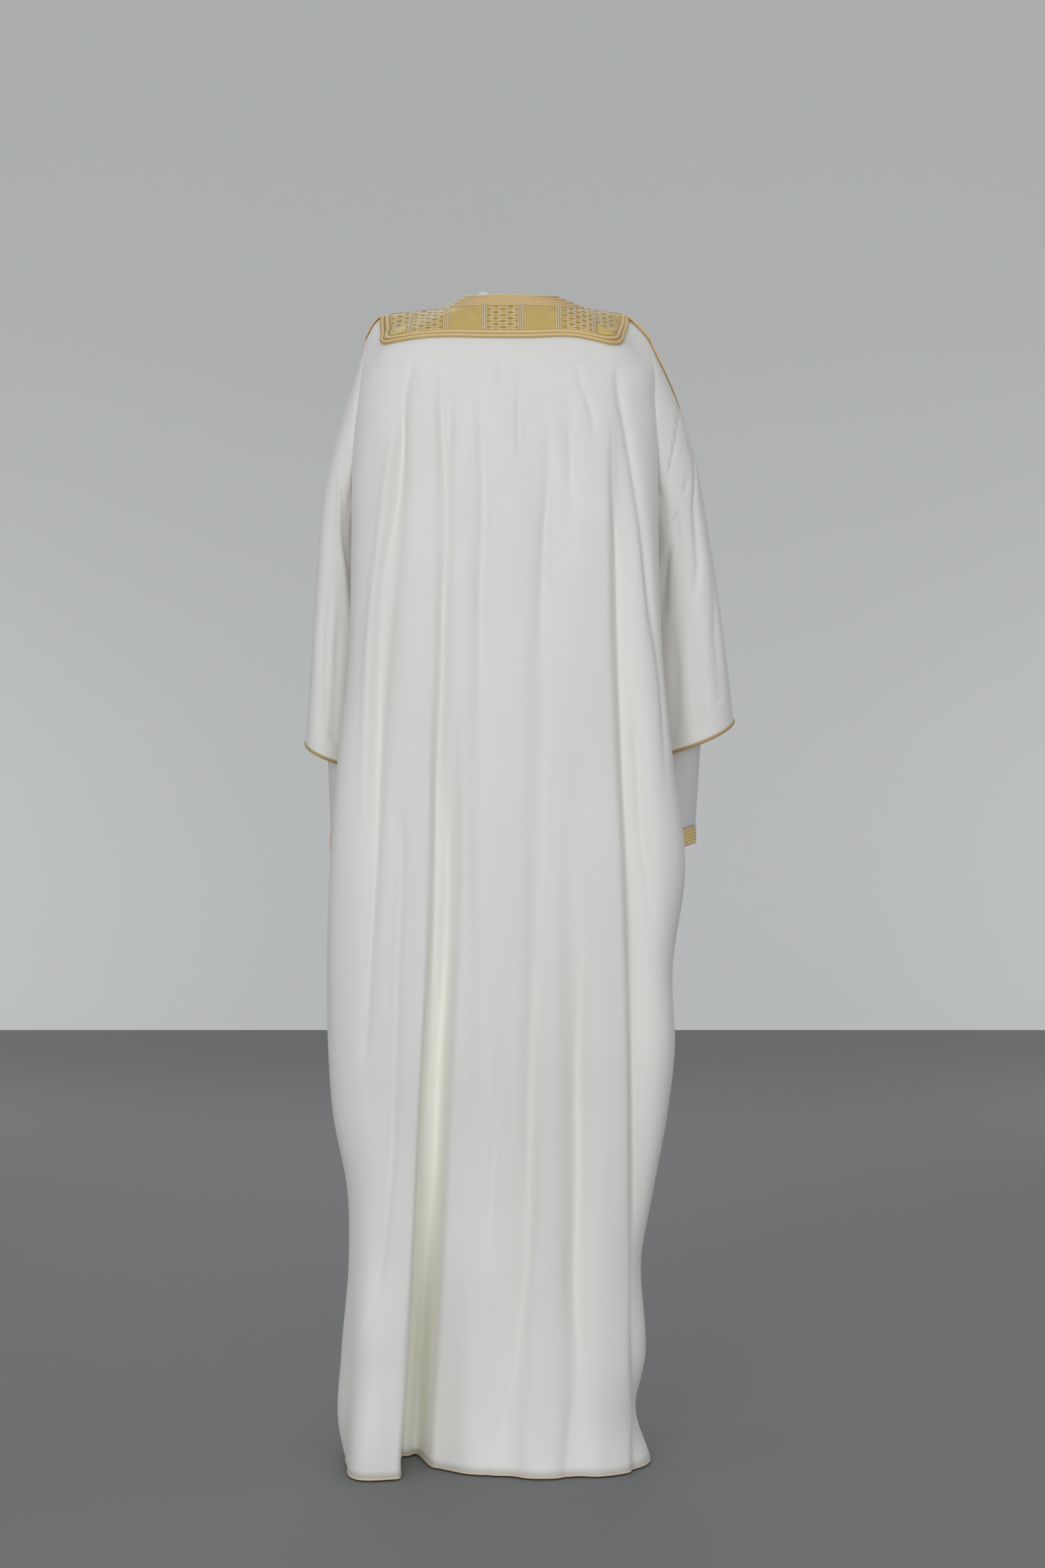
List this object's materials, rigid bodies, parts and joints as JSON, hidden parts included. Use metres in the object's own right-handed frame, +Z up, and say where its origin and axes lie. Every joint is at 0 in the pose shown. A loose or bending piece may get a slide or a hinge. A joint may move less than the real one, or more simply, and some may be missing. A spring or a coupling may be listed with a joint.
{
  "type": "two-piece thobe",
  "caption": "Worn ivory thobe set: a floor-length open outer robe with a gold woven yoke and braided edges, over a plain long-sleeved inner thobe with ribbed gold cuffs.",
  "frame": {"origin": "between the shoulders, at the height of the shoulder line, where the wearer holds the garment up; the floor under the hem is at z = -1.55 m", "axes": "+Z up along the wearer's body, +Y out of the wearer's back, +X to the wearer's left"},
  "size_m": [0.5906, 0.3264, 1.5748],
  "materials": {
    "ivory_crepe": "crepe with a soft satin sheen",
    "ivory_inner": "plain fine weave",
    "gold_weave": "metallic thread, woven and stitched",
    "gold_braid": "metallic braid",
    "ochre_piping": "twisted cord",
    "peach_piping": "twisted cord",
    "pearl_button": "pearl"
  },
  "bodies": {
    "root": {"robe_back": "ivory_crepe", "robe_front_left": "ivory_crepe", "robe_front_right": "ivory_crepe", "robe_sleeve_left": "ivory_crepe", "robe_sleeve_right": "ivory_crepe", "yoke": "gold_weave", "neck_band": "gold_braid", "overarm_cord_left": "gold_braid", "overarm_cord_right": "gold_braid", "sleeve_piping_left": "ochre_piping", "sleeve_piping_right": "ochre_piping", "hem_piping_back": "peach_piping", "hem_piping_front_left": "peach_piping", "hem_piping_front_right": "peach_piping", "thobe_back_yoke": "ivory_inner", "thobe_back": "ivory_inner", "thobe_front": "ivory_inner", "thobe_sleeve_left": "ivory_inner", "thobe_sleeve_right": "ivory_inner", "thobe_collar": "ivory_inner", "placket": "ivory_inner", "cuff_left": "gold_braid", "cuff_right": "gold_braid", "button_1": "pearl_button", "button_2": "pearl_button", "button_3": "pearl_button"}
  },
  "joints": []
}
